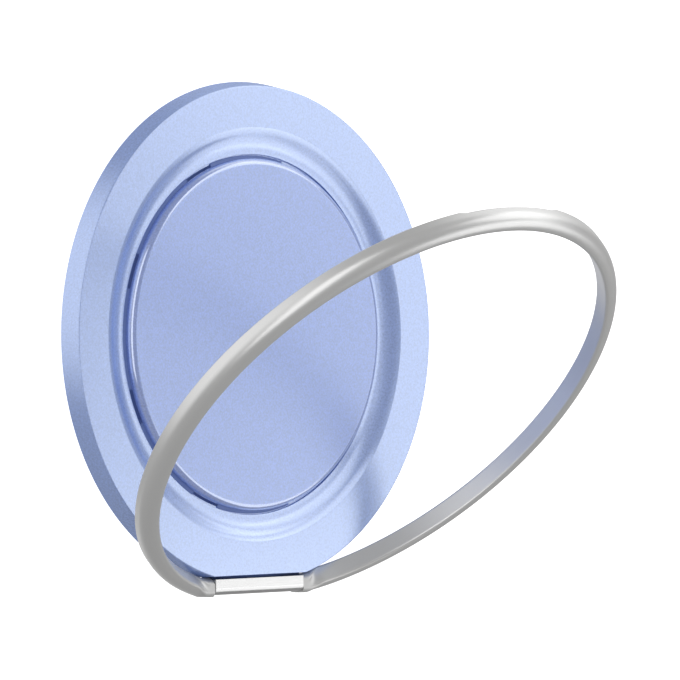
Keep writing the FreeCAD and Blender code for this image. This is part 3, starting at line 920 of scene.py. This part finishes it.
def add_floor(base):
    """Pale floor just under the pad, lit like a light table.

    It lights nothing itself, and from below it is clear, so that the back can be seen.
    """
    mesh = bpy.data.meshes.new("floor")
    far, low = FLOOR_HALF, -FLOOR_DROP
    corners = [(-far, -far, low), (far, -far, low), (far, far, low), (-far, far, low)]
    mesh.from_pydata(corners, [], [range(4)])
    floor = bpy.data.objects.new("floor", mesh)
    bpy.context.scene.collection.objects.link(floor)
    material = bpy.data.materials.new("floor_pale")
    material.use_nodes = True
    shader = material.node_tree.nodes["Principled BSDF"]
    shader.inputs["Base Color"].default_value = (*base, 1.0)
    shader.inputs["Roughness"].default_value = 1.0
    shader.inputs["Specular IOR Level"].default_value = 0.0
    shader.inputs["Emission Color"].default_value = (1.0, 1.0, 1.0, 1.0)
    shader.inputs["Emission Strength"].default_value = FLOOR_GLOW
    nodes, links = material.node_tree.nodes, material.node_tree.links
    side = nodes.new("ShaderNodeNewGeometry")
    clear = nodes.new("ShaderNodeBsdfTransparent")
    either = nodes.new("ShaderNodeMixShader")
    links.new(side.outputs["Backfacing"], either.inputs["Fac"])
    links.new(shader.outputs["BSDF"], either.inputs[1])
    links.new(clear.outputs["BSDF"], either.inputs[2])
    links.new(either.outputs["Shader"], nodes["Material Output"].inputs["Surface"])
    floor.data.materials.append(material)
    floor.visible_diffuse = False
    floor.visible_glossy = False
    floor.visible_shadow = False


def wash_group():
    """Shared light: a round patch of the room with a soft edge.

    With c the cosine between a direction and the patch's middle, the light rises smoothly from none at the
    edge's cosine to its full brightness at the plateau's cosine.
    """
    group = bpy.data.node_groups.new("Wash", "ShaderNodeTree")
    socket(group, "Direction", "INPUT", "NodeSocketVector")
    socket(group, "Middle", "INPUT", "NodeSocketVector")
    for label in ("Edge", "Plateau", "Brightness"):
        socket(group, label, "INPUT", "NodeSocketFloat")
    socket(group, "Light", "OUTPUT", "NodeSocketFloat")
    nodes, links = group.nodes, group.links
    given = nodes.new("NodeGroupInput")
    out = nodes.new("NodeGroupOutput")
    cosine = nodes.new("ShaderNodeVectorMath")
    cosine.operation = "DOT_PRODUCT"
    rise = nodes.new("ShaderNodeMapRange")
    rise.interpolation_type = "SMOOTHSTEP"
    links.new(given.outputs["Direction"], cosine.inputs[0])
    links.new(given.outputs["Middle"], cosine.inputs[1])
    links.new(cosine.outputs["Value"], rise.inputs["Value"])
    links.new(given.outputs["Edge"], rise.inputs["From Min"])
    links.new(given.outputs["Plateau"], rise.inputs["From Max"])
    links.new(given.outputs["Brightness"], rise.inputs["To Max"])
    links.new(rise.outputs["Result"], out.inputs["Light"])
    return group


def add_room():
    """Dim white room with a few washes of light, which add up to the strength of the background."""
    world = bpy.data.worlds.new("studio")
    world.use_nodes = True
    nodes, links = world.node_tree.nodes, world.node_tree.links
    place = nodes.new("ShaderNodeTexCoord")
    group = wash_group()
    total = nodes.new("ShaderNodeValue")
    total.outputs["Value"].default_value = ROOM_LIGHT
    light = total.outputs["Value"]
    for azimuth, elevation, plateau, edge, brightness in WASHES.values():
        wash = nodes.new("ShaderNodeGroup")
        wash.node_tree = group
        wash.inputs["Middle"].default_value = outward(math.radians(azimuth), math.radians(elevation))
        wash.inputs["Plateau"].default_value = math.cos(math.radians(plateau))
        wash.inputs["Edge"].default_value = math.cos(math.radians(edge))
        wash.inputs["Brightness"].default_value = brightness
        links.new(place.outputs["Generated"], wash.inputs["Direction"])
        add = nodes.new("ShaderNodeMath")
        links.new(light, add.inputs[0])
        links.new(wash.outputs["Light"], add.inputs[1])
        light = add.outputs["Value"]
    links.new(light, nodes["Background"].inputs["Strength"])
    nodes["Background"].inputs["Color"].default_value = (1.0, 1.0, 1.0, 1.0)
    bpy.context.scene.world = world
    bpy.context.scene.view_settings.view_transform = "Standard"


def add_softbox(name, azimuth, elevation, width, height, distance, brightness):
    """Rectangular softbox that faces the object, with its width level.

    An area light's power is its brightness times pi times its area.
    """
    light = bpy.data.lights.new(name, "AREA")
    light.shape = "RECTANGLE"
    light.size = width
    light.size_y = height
    light.energy = brightness * math.pi * width * height
    lamp = bpy.data.objects.new(name, light)
    away = outward(math.radians(azimuth), math.radians(elevation))
    side = Vector((0.0, 0.0, 1.0)).cross(away).normalized()
    turn = Matrix((side, away.cross(side), away)).transposed().to_4x4()
    lamp.matrix_world = Matrix.Translation(away * distance) @ turn
    lamp.visible_camera = False
    bpy.context.scene.collection.objects.link(lamp)


class GRIP_OT_stage(bpy.types.Operator):
    """Set the pale floor, the soft light and the camera"""

    bl_idname = "phone_grip.stage"
    bl_label = "Stage"

    def execute(self, context):
        add_floor(context.scene.grip_finishes.floor_white)
        add_room()
        for name, places in SOFTBOXES.items():
            add_softbox(f"softbox {name}", *places)
        add_camera()
        return {"FINISHED"}


PIECE_OPERATORS = (
    GRIP_OT_bezel,
    GRIP_OT_cap,
    GRIP_OT_bar,
    GRIP_OT_loop,
    GRIP_OT_pad,
    GRIP_OT_inner,
    GRIP_OT_stage,
)


class GRIP_PT_sidebar(bpy.types.Panel):
    """Lists the builders, the sizes and the colours"""

    bl_idname = "GRIP_PT_sidebar"
    bl_label = "Phone Grip"
    bl_space_type = "VIEW_3D"
    bl_region_type = "UI"
    bl_category = "Phone Grip"

    def draw(self, context):
        for operator in PIECE_OPERATORS:
            self.layout.operator(operator.bl_idname)
        for group in (context.scene.grip_sizes, context.scene.grip_finishes):
            column = self.layout.column(align=True)
            for name in group.bl_rna.properties.keys():
                if name not in ("rna_type", "name"):
                    column.prop(group, name)


CLASSES = (GripSizes, GripFinishes, *PIECE_OPERATORS, GRIP_PT_sidebar)


def register():
    for cls in CLASSES:
        bpy.utils.register_class(cls)
    bpy.types.Scene.grip_sizes = PointerProperty(type=GripSizes)
    bpy.types.Scene.grip_finishes = PointerProperty(type=GripFinishes)


def unregister():
    del bpy.types.Scene.grip_finishes
    del bpy.types.Scene.grip_sizes
    for cls in reversed(CLASSES):
        bpy.utils.unregister_class(cls)


def main():
    """Build the pieces in order."""
    register()
    bpy.ops.phone_grip.bezel()
    bpy.ops.phone_grip.cap()
    bpy.ops.phone_grip.bar()
    bpy.ops.phone_grip.loop()
    bpy.ops.phone_grip.pad()
    bpy.ops.phone_grip.inner()
    bpy.ops.phone_grip.stage()


if __name__ == "__main__":
    main()
